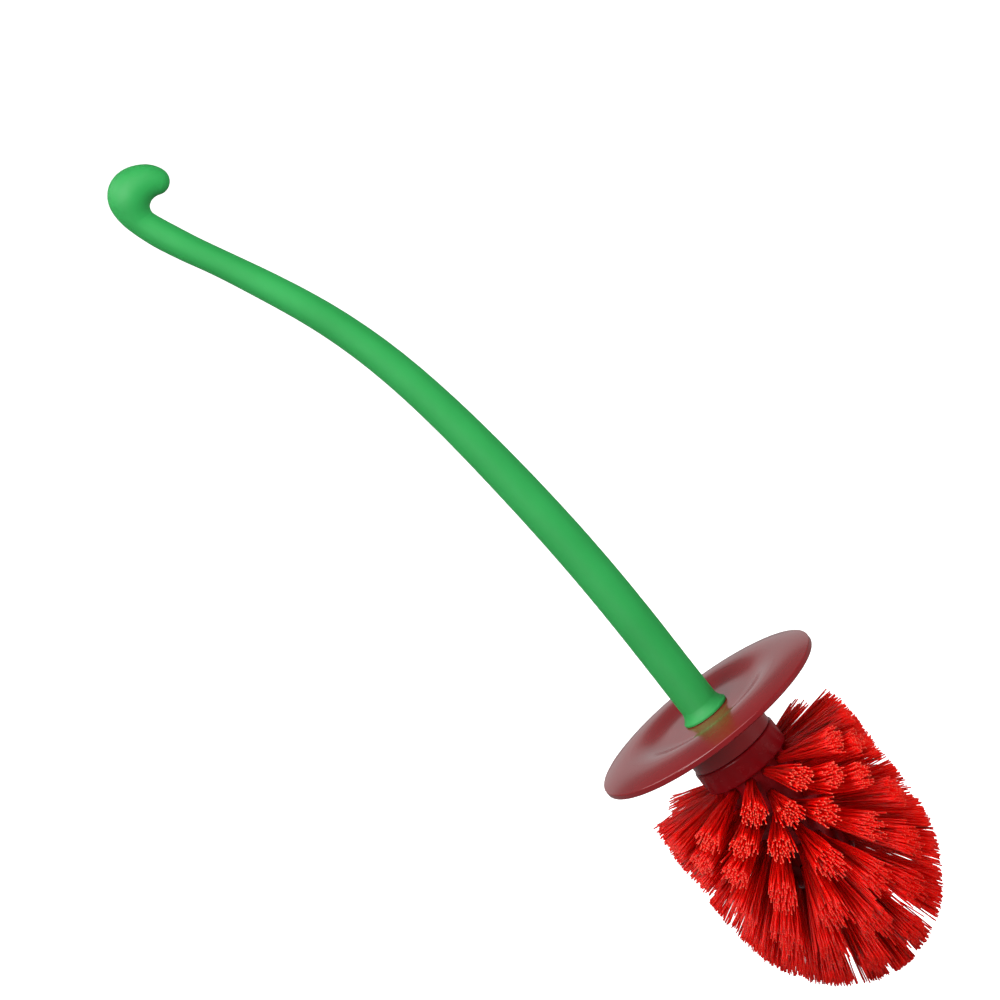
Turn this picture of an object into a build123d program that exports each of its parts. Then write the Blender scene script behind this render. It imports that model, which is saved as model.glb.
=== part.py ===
from build123d import *

import math
import os

# A toilet brush: a hooked stem-like handle, a dished lid with a hub, and a screw-on
# bristle head. Millimetres, +Z up along the head's axis towards the handle. The origin
# is the centre of the flat ring under the lid's rim, which rests on a holder's mouth.
# The handle bends in the XZ plane, towards -X, and -Y is the front.

# ---- driving dimensions ----

# Fits
SEAT_GAP = 0.2  # between the clamped faces of handle, lid and head
RUNNING_GAP = 0.3  # all round between parts that turn or slide on each other

# Lid: a thin dished disc, section given from the axis outwards
LID_WALL = 2.2
LID_FLOOR_Z = 2.0  # top of the sunken floor that the handle stands on
LID_FLOOR_R = 17.0
DISH_RISE_R = 21.0  # concave arc out of the floor
DISH_CROWN_R = 22.8  # convex arc up to the crest
DISH_SLOPE = 20  # degrees, steepest part of the dish wall
RIM_FALL_R = 40.0  # convex arc from the crest down to the rim
RIM_SLOPE = 20  # degrees, at the rim
RIM_BEAD_WIDTH = 1.5
RIM_ROUND = 0.5

# Hub: a cored collar moulded under the lid
HUB_R = 16.3
HUB_BOTTOM_Z = -13.5
HUB_WALL = 2.2
SLEEVE_WALL = 2.2
HUB_RIBS = 6
HUB_RIB_THICK = 1.6
HUB_RIB_LENGTH = 8.1  # bridges the gap and runs into both walls

# Stud: shank held in the handle, plain body through the lid, coarse thread below it
SHANK_R = 4.0
SHANK_LENGTH = 20.0
SHANK_GROOVES = (7.0, 14.0)  # heights of the two grooves above the shank's shoulder
SHANK_GROOVE_R = 3.3
SHANK_GROOVE_WIDTH = 2.0
STUD_BODY_R = 6.9
STUD_SHOULDER_Z = -11.5  # where the body meets the cone down to the thread
STUD_END_Z = -26.0
STUD_CHAMFER = 1.0
THREAD_PITCH = 4.0
THREAD_TURNS = 3
THREAD_CORE_R = 5.7
THREAD_CREST = 0.6  # half-width of the ridge at its top
THREAD_ROOT = 1.1  # half-width of the ridge at the core
THREAD_BURY = 0.3  # how far the ridge runs into the core

# Handle: round sections up the shaft, each (x, height above the lid's floor, radius)
SHAFT_SECTIONS = [
    (0.0, 9.0, 7.15),
    (0.0, 45.0, 7.15),
    (-1.15, 80.0, 7.05),
    (-3.6, 112.0, 6.8),
    (-7.4, 145.0, 6.35),
    (-12.2, 171.0, 5.95),
    (-20.2, 197.5, 5.5),
    (-29.8, 220.0, 5.1),
    (-38.2, 237.5, 4.8),
    (-44.5, 251.0, 5.0),
]
SHAFT_STEPS = 64
# Crook: round sections that fan out round this point, each (degrees, distance, radius)
CROOK_X, CROOK_HEIGHT = -40.7, 262.2
CROOK_SECTIONS = [
    (200, 7.8, 4.9),
    (180, 7.95, 5.2),
    (160, 8.65, 6.05),
    (140, 9.75, 7.15),
    (120, 10.3, 7.75),
    (100, 10.1, 7.4),
    (80, 9.4, 6.5),
    (60, 8.8, 5.5),
    (40, 8.15, 4.25),
]
CROOK_STEPS = 16  # ten degrees each
LOFT_ENDS = (2, 6, 10, 13, 16)  # steps of the crook where one loft ends and the next begins
NOSE_TAPER = 27.5  # degrees by which the crook narrows where its round nose begins
FOOT_R = 8.95
FOOT_EDGE = 0.7  # short upright edge at the very bottom
FOOT_HEIGHT = 4.2  # up to the crease where the flare meets the shaft
FLARE_R = 5.5

# Brush core: a neck, a round bar and a domed end
NECK_R = 16.9
NECK_BOTTOM_Z = -22.8
NECK_ROUND = 0.9
CORE_R = 14.3
CORE_END_Z = -78.0
SOCKET_BOTTOM_Z = -29.0

# Tufts: round bundles that widen outwards from drilled holes
HOLE_R = 2.1
HOLE_DEPTH = 5.5
TUFT_ROOT_R = 2.05
TUFT_STRAIGHT = 3.0  # how far a tuft stays straight outside its hole
FIRST_ANGLE = -88.0  # degrees from +X, of one tuft in each even row
# Rows from the neck down: (tufts, root z, tip radius from the axis, tip z, tip diameter)
RING_ROWS = [
    (12, -25.3, 41.0, -27.5, 9.0),
    (12, -33.0, 41.0, -35.3, 9.0),
    (12, -40.7, 41.0, -43.4, 9.4),
    (12, -48.3, 41.0, -58.7, 10.4),
    (12, -56.0, 40.5, -74.4, 11.4),
    (12, -63.5, 36.5, -87.6, 11.4),
    (10, -72.5, 28.0, -102.6, 11.0),
]
# The last row: a small ring on the dome with one tuft in its middle
DOME_RING = (5, -77.0, 11.5, -113.0, 8.5)
MIDDLE_TUFT = (1, CORE_END_Z, 0.0, -116.0, 7.0)

# All tips are trimmed to one outline: a cylinder that closes in a half ellipse
TRIM_R = 41.3
TRIM_DOME_Z = -66.0  # where the cylinder turns into the ellipse
TRIM_END_Z = -116.5
TRIM_ALLOWANCE = 4.0  # extra length that the trim takes off

# Anchors: flat wire staples across the bottom of each hole
ANCHOR_WIDTH = 4.6  # wider than the hole, so both ends bite into the core
ANCHOR_HEIGHT = 2.0
ANCHOR_THICK = 0.4
ANCHOR_DEPTH = 5.2  # its lower edge, below the mouth of the hole

# ---- worked-out places ----
neck_top_z = HUB_BOTTOM_Z - SEAT_GAP
foot_z = LID_FLOOR_Z + SEAT_GAP
bore_r = STUD_BODY_R + RUNNING_GAP
dome_centre_z = CORE_END_Z + CORE_R
thread_bottom_z = STUD_END_Z + STUD_CHAMFER

os.makedirs("parts", exist_ok=True)


def save(piece, name):
    """Labels a finished piece and writes it as its own STEP file."""
    piece.part.label = name
    export_step(piece.part, f"parts/{name}.step")


def helical_ridge(start_z, turns, gap=0.0):
    """One turn after turn of thread ridge, grown all round by gap."""
    with BuildPart() as thread:
        with BuildLine() as helix:
            Helix(THREAD_PITCH, THREAD_PITCH * turns, THREAD_CORE_R, center=(0, 0, start_z))
        helix_start = Plane(origin=helix.line @ 0, x_dir=(1, 0, 0), z_dir=helix.line % 0)
        crest_x = STUD_BODY_R - THREAD_CORE_R + gap
        with BuildSketch(helix_start):
            with BuildLine():
                Polyline(
                    (-THREAD_BURY, -THREAD_ROOT - gap),
                    (0, -THREAD_ROOT - gap),
                    (crest_x, -THREAD_CREST - gap),
                    (crest_x, THREAD_CREST + gap),
                    (0, THREAD_ROOT + gap),
                    (-THREAD_BURY, THREAD_ROOT + gap),
                    close=True,
                )
            make_face()
        sweep(path=helix.line, is_frenet=True)
    return thread.part


# ---- thread: the ridge on the stud, and the tap that cuts the head's socket ----
stud_ridge = helical_ridge(thread_bottom_z, THREAD_TURNS)
socket_groove = helical_ridge(thread_bottom_z - THREAD_PITCH, THREAD_TURNS + 2, RUNNING_GAP)
with BuildPart() as socket_tap:
    with BuildSketch(Plane.XY.offset(SOCKET_BOTTOM_Z)):
        Circle(THREAD_CORE_R + RUNNING_GAP)
    extrude(amount=neck_top_z + THREAD_PITCH - SOCKET_BOTTOM_Z)
    add(socket_groove)

# ---- threaded stud ----
with BuildPart() as threaded_stud:
    with BuildSketch(Plane.XZ):
        with BuildLine():
            Polyline(
                (0, STUD_END_Z),
                (THREAD_CORE_R - STUD_CHAMFER, STUD_END_Z),
                (THREAD_CORE_R, STUD_END_Z + STUD_CHAMFER),
                (THREAD_CORE_R, STUD_SHOULDER_Z - STUD_CHAMFER),
                (STUD_BODY_R, STUD_SHOULDER_Z),
                (STUD_BODY_R, foot_z),
                (SHANK_R, foot_z),
                (SHANK_R, foot_z + SHANK_LENGTH - STUD_CHAMFER),
                (SHANK_R - STUD_CHAMFER, foot_z + SHANK_LENGTH),
                (0, foot_z + SHANK_LENGTH),
                close=True,
            )
        make_face()
    revolve(axis=Axis.Z)
    add(stud_ridge)
    for height in SHANK_GROOVES:
        with BuildSketch(Plane.XY.offset(foot_z + height)):
            Circle(SHANK_R)
            Circle(SHANK_GROOVE_R, mode=Mode.SUBTRACT)
        extrude(amount=SHANK_GROOVE_WIDTH, mode=Mode.SUBTRACT)
save(threaded_stud, "threaded_stud")

# ---- stem handle ----
# a smooth law between the stated sections: (x, z, radius) and (degrees, distance, radius)
crook_turn = math.radians(CROOK_SECTIONS[0][0])
shaft_law = Spline(
    *[(x, foot_z + height, radius) for x, height, radius in SHAFT_SECTIONS],
    tangents=[(0, 1, 0), (math.sin(crook_turn), -math.cos(crook_turn), 0)],
)
crook_law = Spline(*CROOK_SECTIONS)

# round sections all along the handle, each its plane and its radius
sections = []
for step in range(SHAFT_STEPS):
    x, z, radius = shaft_law @ (step / SHAFT_STEPS)
    slope = shaft_law % (step / SHAFT_STEPS)
    place = Plane(origin=(x, 0, z), x_dir=(0, 1, 0), z_dir=(slope.X, 0, slope.Y))
    sections.append((place, radius))
for step in range(CROOK_STEPS + 1):
    angle, distance, radius = crook_law @ (step / CROOK_STEPS)
    turn = math.radians(angle)
    x = CROOK_X + distance * math.cos(turn)
    z = foot_z + CROOK_HEIGHT + distance * math.sin(turn)
    heading = (math.sin(turn), 0, -math.cos(turn))
    place = Plane(origin=(x, 0, z), x_dir=(0, 1, 0), z_dir=heading)
    sections.append((place, radius))
nose_place, nose_r = sections[-1]

with BuildPart() as stem_handle:
    # the shaft's loft runs on into the crook, where each loft takes a small turn
    loft_start = 0
    for crook_step in LOFT_ENDS:
        loft_end = SHAFT_STEPS + crook_step
        for place, radius in sections[loft_start : loft_end + 1]:
            with BuildSketch(place):
                Circle(radius)
        loft()
        loft_start = loft_end
    # round nose, tangent to the last section
    with Locations(nose_place):
        Sphere(
            nose_r / math.cos(math.radians(NOSE_TAPER)),
            arc_size1=NOSE_TAPER,
            align=(Align.CENTER, Align.CENTER, Align.MIN),
        )
    # foot: a short cylinder that flares out to the lid
    with BuildSketch(Plane.XZ):
        with BuildLine():
            shaft_r = SHAFT_SECTIONS[0][-1]
            shaft_foot_z = foot_z + SHAFT_SECTIONS[0][1]
            Polyline(
                (shaft_r, foot_z + FOOT_HEIGHT),
                (shaft_r, shaft_foot_z),
                (0, shaft_foot_z),
                (0, foot_z),
                (FOOT_R, foot_z),
                (FOOT_R, foot_z + FOOT_EDGE),
            )
            RadiusArc(
                (FOOT_R, foot_z + FOOT_EDGE), (shaft_r, foot_z + FOOT_HEIGHT), FLARE_R
            )
        make_face()
    revolve(axis=Axis.Z)
    add(threaded_stud.part, mode=Mode.SUBTRACT)
save(stem_handle, "stem_handle")


def dish_edge(depth):
    """The dish's section line, depth below its top face, as its first and last point."""
    floor = Line((bore_r, LID_FLOOR_Z - depth), (LID_FLOOR_R, LID_FLOOR_Z - depth))
    rise = JernArc(floor @ 1, floor % 1, DISH_RISE_R + depth, DISH_SLOPE)
    crown = JernArc(rise @ 1, rise % 1, DISH_CROWN_R - depth, -DISH_SLOPE)
    fall = JernArc(crown @ 1, crown % 1, RIM_FALL_R - depth, -RIM_SLOPE)
    return floor @ 0, fall @ 1


# ---- lid ----
with BuildPart() as lid:
    with BuildSketch(Plane.XZ):
        with BuildLine():
            top_bore, top_rim = dish_edge(0)
            low_bore, low_rim = dish_edge(LID_WALL)
            Line(top_bore, low_bore)
            Line(top_rim, low_rim)
        make_face()
    revolve(axis=Axis.Z)
    # rim bead, whose underside is the flat ring that rests on a holder
    with BuildSketch():
        Circle(top_rim.X)
        Circle(top_rim.X - RIM_BEAD_WIDTH, mode=Mode.SUBTRACT)
    extrude(amount=top_rim.Y)
    # hub: outer collar, inner sleeve round the stud, and ribs between them
    with BuildSketch(Plane.XY.offset(HUB_BOTTOM_Z)):
        Circle(HUB_R)
        Circle(HUB_R - HUB_WALL, mode=Mode.SUBTRACT)
        Circle(bore_r + SLEEVE_WALL)
        with PolarLocations((bore_r + HUB_R) / 2, HUB_RIBS):
            Rectangle(HUB_RIB_LENGTH, HUB_RIB_THICK)
        Circle(bore_r, mode=Mode.SUBTRACT)
    extrude(amount=LID_FLOOR_Z - LID_WALL / 2 - HUB_BOTTOM_Z)
    outer_edges = lid.edges().filter_by(GeomType.CIRCLE).sort_by(SortBy.RADIUS)
    fillet(outer_edges[-2:], RIM_ROUND)
save(lid, "lid")


# ---- trim outline of the bristles ----
with BuildPart() as trim:
    with BuildSketch(Plane.XZ):
        with BuildLine():
            Polyline((0, TRIM_END_Z), (0, 0), (TRIM_R, 0), (TRIM_R, TRIM_DOME_Z))
            EllipticalCenterArc(
                (0, TRIM_DOME_Z), TRIM_R, TRIM_DOME_Z - TRIM_END_Z, start_angle=270, arc_size=90
            )
        make_face()
    revolve(axis=Axis.Z)


def core_radius(z):
    """The brush core's radius at a height, on its bar or on its domed end."""
    below_bar = min(z - dome_centre_z, 0)
    return math.sqrt(CORE_R**2 - below_bar**2)


def ring(count, root_z, tip_r, tip_z, tip_d, start_angle):
    """One ring of tufts: a pattern tuft, its staple and its drilled hole, all on +X."""
    root = Vector(core_radius(root_z), 0, root_z)
    along = Vector(tip_r, 0, tip_z) - root
    mouth = Plane(origin=root, x_dir=(0, 1, 0), z_dir=along)
    upwards = (Align.CENTER, Align.CENTER, Align.MIN)
    hole_bottom = mouth.offset(-HOLE_DEPTH)
    with BuildPart() as staple:
        with Locations(mouth.offset(-ANCHOR_DEPTH)):
            Box(ANCHOR_WIDTH, ANCHOR_THICK, ANCHOR_HEIGHT, align=upwards)
    with BuildPart() as bundle:
        with Locations(hole_bottom):
            Cylinder(TUFT_ROOT_R, HOLE_DEPTH + TUFT_STRAIGHT, align=upwards)
        with Locations(mouth.offset(TUFT_STRAIGHT)):
            flare = along.length + TRIM_ALLOWANCE - TUFT_STRAIGHT
            Cone(TUFT_ROOT_R, tip_d / 2, flare, align=upwards)
        add(trim.part, mode=Mode.INTERSECT)
        add(staple.part, mode=Mode.SUBTRACT)
    with BuildPart() as drill:
        with Locations(hole_bottom):
            Cylinder(HOLE_R, HOLE_DEPTH + TUFT_STRAIGHT, align=upwards)
    return bundle.part, staple.part, drill.part, count, start_angle


# ---- rows of tufts, each a list of rings; the odd rows stand between the even ones ----
rows = []
for number, row in enumerate(RING_ROWS):
    stagger = 180 / row[0] if number % 2 == 0 else 0
    rows.append([ring(*row, FIRST_ANGLE + stagger)])
rows.append([ring(*DOME_RING, FIRST_ANGLE), ring(*MIDDLE_TUFT, 0)])

# ---- head core ----
with BuildPart() as head_core:
    with BuildSketch(Plane.XZ):
        with BuildLine():
            Polyline(
                (0, CORE_END_Z),
                (0, neck_top_z),
                (NECK_R, neck_top_z),
                (NECK_R, NECK_BOTTOM_Z),
                (CORE_R, NECK_BOTTOM_Z),
                (CORE_R, dome_centre_z),
            )
            RadiusArc((CORE_R, dome_centre_z), (0, CORE_END_Z), CORE_R)
        make_face()
    revolve(axis=Axis.Z)
    neck_edges = head_core.edges().filter_by(GeomType.CIRCLE).group_by(SortBy.RADIUS)[-1]
    fillet(neck_edges, NECK_ROUND)
    add(socket_tap.part, mode=Mode.SUBTRACT)
    for rings in rows:
        for bundle, staple, drill, count, start_angle in rings:
            with PolarLocations(0, count, start_angle):
                add(drill, mode=Mode.SUBTRACT)
save(head_core, "head_core")

# ---- tufts and their anchors, one node of each for every row ----
for number, rings in enumerate(rows, start=1):
    with BuildPart() as tufts:
        for bundle, staple, drill, count, start_angle in rings:
            with PolarLocations(0, count, start_angle):
                add(bundle)
    save(tufts, f"tufts_row_{number}")
    with BuildPart() as anchors:
        for bundle, staple, drill, count, start_angle in rings:
            with PolarLocations(0, count, start_angle):
                add(staple)
    save(anchors, f"anchors_row_{number}")
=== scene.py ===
"""A toilet brush: satin green stem handle, glossy dark red lid and a head of red bristles.

The handle, lid, brush core, stud and staples are the CAD pieces with procedural
materials. The bristles replace the plain CAD tufts, row by row.
"""

import math

import bpy
import numpy as np
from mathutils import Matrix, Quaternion, Vector


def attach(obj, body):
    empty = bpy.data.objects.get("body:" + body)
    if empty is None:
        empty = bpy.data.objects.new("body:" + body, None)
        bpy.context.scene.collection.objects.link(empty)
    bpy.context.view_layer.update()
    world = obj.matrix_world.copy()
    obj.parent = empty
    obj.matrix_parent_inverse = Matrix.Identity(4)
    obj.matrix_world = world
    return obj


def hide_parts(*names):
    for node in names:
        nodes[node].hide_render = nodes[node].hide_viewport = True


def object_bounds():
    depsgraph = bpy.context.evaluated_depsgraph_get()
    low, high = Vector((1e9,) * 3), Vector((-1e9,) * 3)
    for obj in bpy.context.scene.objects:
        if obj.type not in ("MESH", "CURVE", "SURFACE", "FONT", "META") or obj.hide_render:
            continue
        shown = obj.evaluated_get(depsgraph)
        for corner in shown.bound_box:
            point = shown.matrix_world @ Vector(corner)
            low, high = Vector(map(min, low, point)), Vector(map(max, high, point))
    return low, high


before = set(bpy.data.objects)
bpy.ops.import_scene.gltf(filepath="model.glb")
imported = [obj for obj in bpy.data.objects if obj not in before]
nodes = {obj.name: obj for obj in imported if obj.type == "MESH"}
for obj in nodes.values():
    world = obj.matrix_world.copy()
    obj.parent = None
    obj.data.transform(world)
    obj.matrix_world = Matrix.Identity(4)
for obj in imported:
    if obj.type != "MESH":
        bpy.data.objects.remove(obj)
cad_low, cad_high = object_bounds()

MM = 0.001

# ---- tufts, as the CAD model places them, in millimetres ----
CORE_R = 14.3
CORE_END_Z = -78.0
FIRST_ANGLE = -88.0  # degrees from +X, of one tuft in each even row
STRAIGHT = 3.0  # a tuft stays tight this far outside its hole
# rows from the neck down: (tufts, root z, tip radius from the axis, tip z, tip diameter)
RING_ROWS = [
    (12, -25.3, 41.0, -27.5, 9.0),
    (12, -33.0, 41.0, -35.3, 9.0),
    (12, -40.7, 41.0, -43.4, 9.4),
    (12, -48.3, 41.0, -58.7, 10.4),
    (12, -56.0, 40.5, -74.4, 11.4),
    (12, -63.5, 36.5, -87.6, 11.4),
    (10, -72.5, 28.0, -102.6, 11.0),
]
DOME_RING = (5, -77.0, 11.5, -113.0, 8.5)
MIDDLE_TUFT = (1, CORE_END_Z, 0.0, -116.0, 7.0)
# all tips are trimmed to a cylinder that closes in a half ellipse
TRIM_R = 41.3
TRIM_DOME_Z = -66.0
TRIM_END_Z = -116.5

# ---- bristles ----
FILAMENTS = 64  # in one tuft
FILAMENT_R = 0.27
ROOT_R = 1.8  # of the bundle in its hole
SUNK = 1.5  # how far the strands start inside the hole
SIDES = 6
STEPS = 9  # cross-sections along a strand
UNEVEN = 1.3  # how much shorter than the trim a strand may be
SPLAY = 1.12  # how much wider than the CAD tuft the strands end
END_SPREAD = (0.82, 1.12)  # range by which single strands end nearer or farther out
TWIST = 0.12  # radians, how far a strand wanders round its tuft
BOW = 0.35  # how far a strand bends sideways in its middle
STRAY_SHARE = 0.07
STRAY_SPREAD = 1.5
GOLDEN_ANGLE = math.radians(137.508)  # packs the strands evenly in the hole
WIDEN_LIMIT = 1.3  # a bundle keeps widening this far past its planned length
TRIALS = 60  # places tried along a strand for where the trim cuts it
OVERRUN = 6.0  # how far past the planned length the last of them is


# ---------------------------------------------------------------- materials


def new_material(name):
    """A node material with only its Principled shader and output, and that shader."""
    material = bpy.data.materials.new(name)
    material.use_nodes = True
    return material, material.node_tree.nodes["Principled BSDF"]


def add_node(material, kind, **inputs):
    """One shader node, with its input sockets set by name."""
    node = material.node_tree.nodes.new(kind)
    for socket, value in inputs.items():
        node.inputs[socket.replace("_", " ")].default_value = value
    return node


def link(material, output, target):
    """Connects an output socket to an input socket."""
    material.node_tree.links.new(output, target)


def noise(material, scale, detail=3.0, roughness=0.5):
    """Noise in object space, in lumps of about 1/scale metres."""
    where = add_node(material, "ShaderNodeTexCoord")
    lumps = add_node(
        material, "ShaderNodeTexNoise", Scale=scale, Detail=detail, Roughness=roughness
    )
    link(material, where.outputs["Object"], lumps.inputs["Vector"])
    return lumps.outputs["Fac"]


def ramp(material, factor, low, high, start=0.35, end=0.65):
    """Two colours blended along a factor."""
    node = add_node(material, "ShaderNodeValToRGB")
    node.color_ramp.elements[0].position = start
    node.color_ramp.elements[1].position = end
    node.color_ramp.elements[0].color = (*low, 1)
    node.color_ramp.elements[1].color = (*high, 1)
    link(material, factor, node.inputs["Fac"])
    return node.outputs["Color"]


def spread(material, factor, low, high):
    """A factor from 0 to 1 mapped to a range of plain numbers."""
    node = add_node(material, "ShaderNodeMapRange", To_Min=low, To_Max=high)
    link(material, factor, node.inputs["Value"])
    return node.outputs["Result"]


def bump(material, shader, height, strength, distance):
    """Surface relief on a shader, from a height factor."""
    node = add_node(material, "ShaderNodeBump", Strength=strength, Distance=distance)
    link(material, height, node.inputs["Height"])
    link(material, node.outputs["Normal"], shader.inputs["Normal"])


def moulded_plastic(name, dark, light, roughness, grain, grain_depth, coat=0.0, specular=0.5):
    """Injection-moulded plastic: faint clouding, uneven gloss and a fine skin texture."""
    material, shader = new_material(name)
    clouds = noise(material, 35.0)
    link(material, ramp(material, clouds, dark, light), shader.inputs["Base Color"])
    wear = noise(material, 160.0, detail=6.0, roughness=0.65)
    low, high = roughness
    link(material, spread(material, wear, low, high), shader.inputs["Roughness"])
    bump(material, shader, noise(material, grain, detail=2.0), 0.25, grain_depth)
    shader.inputs["IOR"].default_value = 1.49
    shader.inputs["Specular IOR Level"].default_value = specular
    shader.inputs["Coat Weight"].default_value = coat
    shader.inputs["Coat Roughness"].default_value = 0.2
    return material


def handle_material():
    material = moulded_plastic(
        "satin_green_plastic",
        dark=(0.010, 0.24, 0.045),
        light=(0.014, 0.27, 0.054),
        roughness=(0.56, 0.66),
        grain=2600.0,
        grain_depth=0.00005,
    )
    shader = material.node_tree.nodes["Principled BSDF"]
    shader.inputs["Subsurface Weight"].default_value = 0.12
    shader.inputs["Subsurface Radius"].default_value = (0.3, 1.0, 0.4)
    shader.inputs["Subsurface Scale"].default_value = 0.002
    return material


def bristle_material():
    """Extruded strands, each a little different, with painted shade: deep red at the root,
    deep inside the tuft, and brighter outwards.
    """
    material, shader = new_material("bristle_strands")
    along = add_node(material, "ShaderNodeAttribute")
    along.attribute_name = "along"
    tone = add_node(material, "ShaderNodeAttribute")
    tone.attribute_name = "tone"
    # painted shade: the strands darken towards the root, where they lie deep inside the tuft
    reach = ramp(
        material, along.outputs["Fac"], (0.66, 0.001, 0.001), (0.88, 0.007, 0.003), 0.1, 0.8
    )
    shade = add_node(material, "ShaderNodeHueSaturation", Saturation=1.0)
    link(material, reach, shade.inputs["Color"])
    link(material, spread(material, tone.outputs["Fac"], 0.92, 1.10), shade.inputs["Value"])
    link(material, shade.outputs["Color"], shader.inputs["Base Color"])
    shader.inputs["Roughness"].default_value = 0.45
    shader.inputs["IOR"].default_value = 1.45
    shader.inputs["Specular IOR Level"].default_value = 0.3
    shader.inputs["Subsurface Weight"].default_value = 1.0
    shader.inputs["Subsurface Radius"].default_value = (1.0, 0.05, 0.03)
    shader.inputs["Subsurface Scale"].default_value = 0.005
    return material


def tip_material():
    """Cut ends: rough and paler, because the cut scatters light."""
    material, shader = new_material("bristle_ends")
    speckle = noise(material, 1500.0, detail=2.0)
    colour = ramp(material, speckle, (0.84, 0.04, 0.02), (0.92, 0.15, 0.08))
    link(material, colour, shader.inputs["Base Color"])
    shader.inputs["Roughness"].default_value = 0.7
    return material


def metal_material(name, colour, roughness):
    """Drawn or plated steel, a little cloudy, with a fine grain in its gloss and surface."""
    material, shader = new_material(name)
    darker = tuple(0.8 * channel for channel in colour)
    clouds = ramp(material, noise(material, 90.0), darker, colour)
    link(material, clouds, shader.inputs["Base Color"])
    shader.inputs["Metallic"].default_value = 1.0
    grain = noise(material, 900.0, detail=4.0)
    link(material, spread(material, grain, *roughness), shader.inputs["Roughness"])
    bump(material, shader, grain, 0.2, 0.00003)
    return material


def paint(node_name, material):
    """Gives a CAD node's mesh one material."""
    mesh = nodes[node_name].data
    mesh.materials.clear()
    mesh.materials.append(material)


# ---------------------------------------------------------------- bristles


def core_radius(z):
    """The brush core's radius at a height, on its bar or on its domed end."""
    below_bar = min(z - (CORE_END_Z + CORE_R), 0.0)
    return math.sqrt(CORE_R**2 - below_bar**2)


def tuft_places(count, root_z, tip_r, tip_z, tip_d, start_angle):
    """Mouth, direction, length and end radius of each tuft in a ring."""
    root_r = core_radius(root_z)
    length = math.hypot(tip_r - root_r, tip_z - root_z)
    for k in range(count):
        turn = math.radians(start_angle + 360.0 * k / count)
        outwards = np.array([math.cos(turn), math.sin(turn), 0.0])
        mouth = root_r * outwards + np.array([0.0, 0.0, root_z])
        tip = tip_r * outwards + np.array([0.0, 0.0, tip_z])
        yield mouth, (tip - mouth) / length, length, tip_d / 2


def beyond_trim(points):
    """Below zero inside the trimmed outline, above zero outside it."""
    below_dome = np.minimum(points[..., 2] - TRIM_DOME_Z, 0.0)
    across = (points[..., 0] ** 2 + points[..., 1] ** 2) / TRIM_R**2
    return across + (below_dome / (TRIM_DOME_Z - TRIM_END_Z)) ** 2 - 1.0


def strand_paths(mouth, heading, length, end_r, rng):
    """Centre lines of a tuft's strands, as (strand, step, xyz) in millimetres."""
    side = np.cross(heading, [0.0, 0.0, 1.0])
    if np.linalg.norm(side) < 0.01:
        side = np.array([1.0, 0.0, 0.0])
    side = side / np.linalg.norm(side)
    rise = np.cross(side, heading)
    # sunflower packing in the hole, kept as the bundle widens
    k = np.arange(FILAMENTS)
    angle = k * GOLDEN_ANGLE + rng.uniform(0, 2 * math.pi)
    place = np.sqrt((k + 0.5) / FILAMENTS)
    angle_out = angle + rng.normal(0, TWIST, FILAMENTS)
    place_out = SPLAY * place * rng.uniform(*END_SPREAD, FILAMENTS)
    stray = rng.random(FILAMENTS) < STRAY_SHARE
    place_out[stray] *= rng.uniform(1.0, STRAY_SPREAD, stray.sum())
    bow = rng.normal(0, BOW, (FILAMENTS, 2))

    def centre(reach):
        """Points at a distance along the tuft, one reach for each strand."""
        widen = np.clip((reach - STRAIGHT) / (length - STRAIGHT), 0.0, WIDEN_LIMIT)
        arch = np.sin(math.pi * np.clip(widen, 0, 1))
        a = angle + (angle_out - angle) * widen
        r = place * ROOT_R * (1 - widen) + place_out * end_r * widen
        u = r * np.cos(a) + bow[:, 0] * arch
        v = r * np.sin(a) + bow[:, 1] * arch
        return mouth + reach[:, None] * heading + u[:, None] * side + v[:, None] * rise

    # a strand ends where it first meets the trimmed outline, less a little
    trials = np.linspace(0.5 * length, length + OVERRUN, TRIALS)
    outside = np.array([beyond_trim(centre(np.full(FILAMENTS, s))) for s in trials]) > 0
    first = np.where(outside.any(0), outside.argmax(0), len(trials) - 1)
    ends = trials[first] - UNEVEN * rng.random(FILAMENTS) ** 2
    shares = np.linspace(0.0, 1.0, STEPS)
    reaches = -SUNK + shares[:, None] * (ends + SUNK)
    return np.stack([centre(reach) for reach in reaches], axis=1), side, rise


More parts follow.
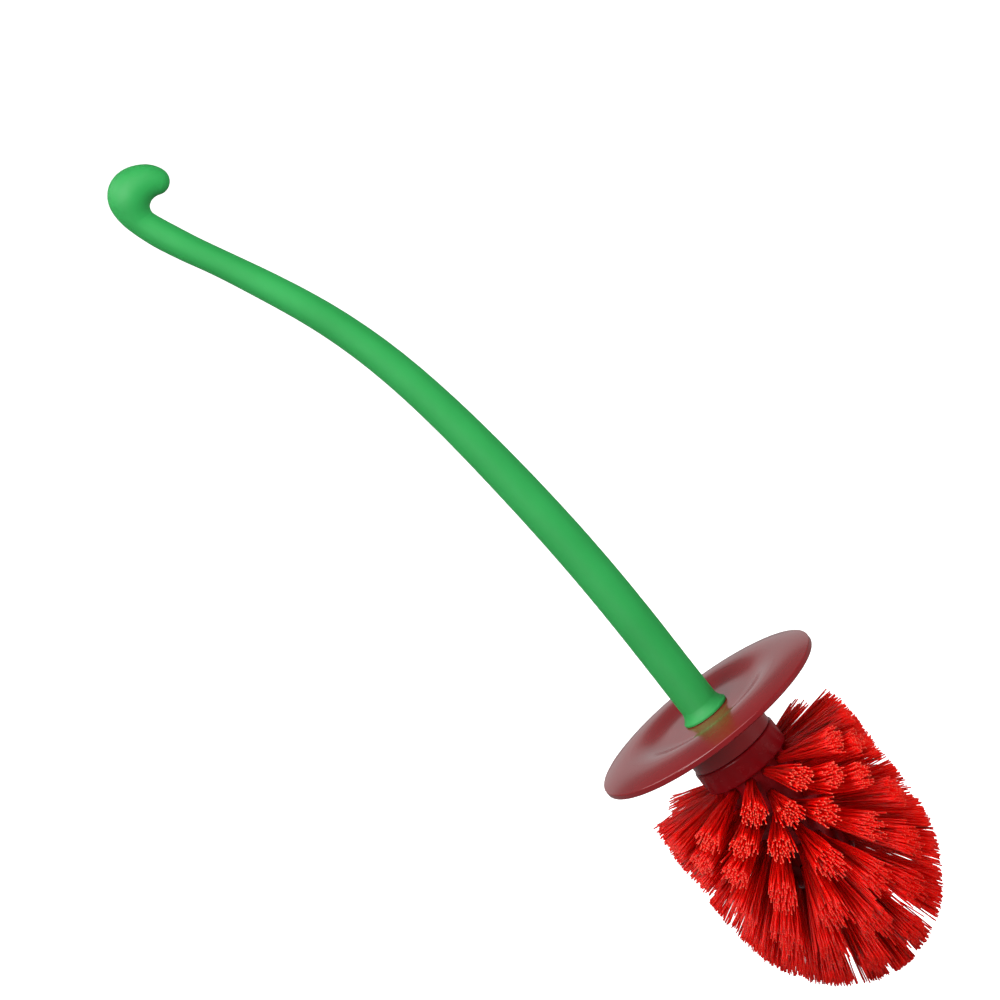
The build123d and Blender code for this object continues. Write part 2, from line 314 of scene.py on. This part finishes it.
def bristle_row(name, rings, rng):
    """All strands of one row as one mesh, each strand a closed tube."""
    corners = 2 * math.pi * np.arange(SIDES) / SIDES
    per_strand = STEPS * SIDES
    points, faces = [], []
    for ring in rings:
        for place in tuft_places(*ring):
            paths, side, rise = strand_paths(*place, rng)
            around = np.outer(np.cos(corners), side) + np.outer(np.sin(corners), rise)
            tube = paths[:, :, None, :] + FILAMENT_R * around[None, None, :, :]
            points.append(tube.reshape(-1, 3))
    points = np.concatenate(points) * MM
    strands = len(points) // per_strand
    # one strand's faces, then the same for every strand
    step, corner = np.meshgrid(np.arange(STEPS - 1), np.arange(SIDES), indexing="ij")
    here = step * SIDES + corner
    beside = step * SIDES + (corner + 1) % SIDES
    walls = np.stack([here, beside, beside + SIDES, here + SIDES], axis=-1).reshape(-1, 4)
    root_cap = np.arange(SIDES)[::-1]
    tip_cap = np.arange(SIDES) + per_strand - SIDES
    for strand in range(strands):
        offset = strand * per_strand
        faces += (walls + offset).tolist()
        faces += [(root_cap + offset).tolist(), (tip_cap + offset).tolist()]
    mesh = bpy.data.meshes.new(name)
    mesh.from_pydata(points, [], faces)
    per_face = len(walls) + 2
    smooth = np.ones(strands * per_face, bool)
    smooth[per_face - 1 :: per_face] = False
    smooth[per_face - 2 :: per_face] = False
    mesh.polygons.foreach_set("use_smooth", smooth)
    is_end = np.zeros(strands * per_face, np.int32)
    is_end[per_face - 1 :: per_face] = 1
    mesh.materials.append(strand_look)
    mesh.materials.append(end_look)
    mesh.polygons.foreach_set("material_index", is_end)
    along = np.tile(np.repeat(np.linspace(0, 1, STEPS), SIDES), strands)
    tone = np.repeat(rng.random(strands), per_strand)
    for attribute, values in (("along", along), ("tone", tone)):
        layer = mesh.attributes.new(attribute, "FLOAT", "POINT")
        layer.data.foreach_set("value", values.astype(np.float32))
    mesh.update()
    piece = bpy.data.objects.new(name, mesh)
    bpy.context.scene.collection.objects.link(piece)
    return piece


# ---------------------------------------------------------------- make the brush

green = handle_material()
lid_red = moulded_plastic(
    "glossy_dark_red_plastic",
    dark=(0.155, 0.003, 0.005),
    light=(0.19, 0.005, 0.007),
    roughness=(0.17, 0.23),
    grain=700.0,
    grain_depth=0.00001,
    coat=0.15,
)
core_red = moulded_plastic(
    "deep_red_plastic",
    dark=(0.15, 0.001, 0.003),
    light=(0.18, 0.002, 0.005),
    roughness=(0.22, 0.32),
    grain=900.0,
    grain_depth=0.00002,
    specular=0.2,
)
zinc = metal_material("zinc_plated_steel", (0.62, 0.63, 0.64), (0.28, 0.42))
wire = metal_material("bright_flat_wire", (0.70, 0.70, 0.70), (0.22, 0.34))
strand_look = bristle_material()
end_look = tip_material()

paint("stem_handle", green)
paint("lid", lid_red)
paint("head_core", core_red)
paint("threaded_stud", zinc)

rows = []
for number, row in enumerate(RING_ROWS):
    stagger = 180.0 / row[0] if number % 2 == 0 else 0.0
    rows.append([(*row, FIRST_ANGLE + stagger)])
rows.append([(*DOME_RING, FIRST_ANGLE), (*MIDDLE_TUFT, 0.0)])
for number, rings in enumerate(rows, start=1):
    piece = bristle_row(f"bristles_row_{number}", rings, np.random.default_rng(number))
    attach(piece, "head")
    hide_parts(f"tufts_row_{number}")
    paint(f"anchors_row_{number}", wire)

# ---------------------------------------------------------------- stage, light, camera

FLOOR_DROP = 0.30  # metres; the brush is held above the floor
TARGET = Vector((-0.0108, 0.0, 0.1088))  # what the camera and the lights aim at
CAMERA_DISTANCE = 1.4305
CAMERA_ELEVATION = math.radians(10.56)
CAMERA_AZIMUTH = math.radians(0.44)
CAMERA_ROLL = math.radians(-38.27)


def direction(azimuth, elevation):
    """From the brush towards a place; azimuth 0 is the front, and turns towards +X."""
    return Vector(
        (
            math.sin(azimuth) * math.cos(elevation),
            -math.cos(azimuth) * math.cos(elevation),
            math.sin(elevation),
        )
    )


camera_data = bpy.data.cameras.new("camera")
camera_data.lens = 146.2
camera_data.sensor_width = 36.0
camera = bpy.data.objects.new("camera", camera_data)
back = direction(CAMERA_AZIMUTH, CAMERA_ELEVATION)
level = (-back).to_track_quat("-Z", "Y")
camera.rotation_mode = "QUATERNION"
camera.rotation_quaternion = level @ Quaternion((0, 0, 1), CAMERA_ROLL)
camera.location = TARGET + CAMERA_DISTANCE * back
bpy.context.scene.collection.objects.link(camera)
bpy.context.scene.camera = camera


def softbox(name, distance, azimuth, elevation, width, height, power, mirrored=True):
    """An area light round the brush, aimed at its middle, in degrees, metres and watts.

    It is never seen itself, and only where it is mirrored does it show as a reflection.
    """
    light = bpy.data.lights.new(name, "AREA")
    light.shape = "RECTANGLE"
    light.size = width
    light.size_y = height
    light.energy = power
    lamp = bpy.data.objects.new(name, light)
    away = direction(math.radians(azimuth), math.radians(elevation))
    lamp.location = TARGET + distance * away
    lamp.rotation_mode = "QUATERNION"
    lamp.rotation_quaternion = (-away).to_track_quat("-Z", "Y")
    lamp.visible_camera = False
    lamp.visible_glossy = mirrored
    bpy.context.scene.collection.objects.link(lamp)


# name, distance, azimuth, elevation, width, height, power
softbox("key", 2.0, -34, 28, 1.2, 1.2, 43.0)
softbox("fill", 2.2, 66, -8, 1.4, 1.4, 33.0, mirrored=False)
softbox("top", 2.0, -110, 55, 1.2, 1.2, 16.0)
softbox("crook", 0.62, 10, 46, 0.5, 0.5, 2.5)
softbox("back", 2.2, 180, 8, 2.4, 0.9, 2.3)

world = bpy.data.worlds.new("studio")
world.use_nodes = True
sky = world.node_tree.nodes["Background"]
sky.inputs["Color"].default_value = (1, 1, 1, 1)
sky.inputs["Strength"].default_value = 0.26
bpy.context.scene.world = world
bpy.context.scene.view_settings.view_transform = "Standard"

# a white floor that runs out to a white backdrop, both seen only by the camera
paper, paper_shader = new_material("white_paper")
paper_shader.inputs["Base Color"].default_value = (0.9, 0.9, 0.9, 1)
paper_shader.inputs["Roughness"].default_value = 0.9
paper_shader.inputs["Emission Color"].default_value = (1, 1, 1, 1)
paper_shader.inputs["Emission Strength"].default_value = 1.0


def backdrop_piece(name, points, faces):
    """A sheet of white paper that neither lights the brush nor shows in it."""
    mesh = bpy.data.meshes.new(name)
    mesh.from_pydata(points, [], faces)
    mesh.materials.append(paper)
    piece = bpy.data.objects.new(name, mesh)
    piece.visible_glossy = False
    piece.visible_diffuse = False
    piece.visible_shadow = False
    bpy.context.scene.collection.objects.link(piece)


FLOOR_HALF = 12.0  # metres, and the radius of the wall
WALL_HEIGHT = 12.0
WALL_SIDES = 24
floor_z = cad_low.z - FLOOR_DROP
corner_signs = ((-1, -1), (1, -1), (1, 1), (-1, 1))
floor_corners = [(x * FLOOR_HALF, y * FLOOR_HALF, floor_z) for x, y in corner_signs]
backdrop_piece("floor", floor_corners, [(0, 1, 2, 3)])
turns = [2 * math.pi * k / WALL_SIDES for k in range(WALL_SIDES)]
wall_foot = [(FLOOR_HALF * math.cos(t), FLOOR_HALF * math.sin(t), floor_z) for t in turns]
wall_top = [(x, y, floor_z + WALL_HEIGHT) for x, y, z in wall_foot]
wall_faces = [
    (k, (k + 1) % WALL_SIDES, (k + 1) % WALL_SIDES + WALL_SIDES, k + WALL_SIDES)
    for k in range(WALL_SIDES)
]
backdrop_piece("backdrop", wall_foot + wall_top, wall_faces)
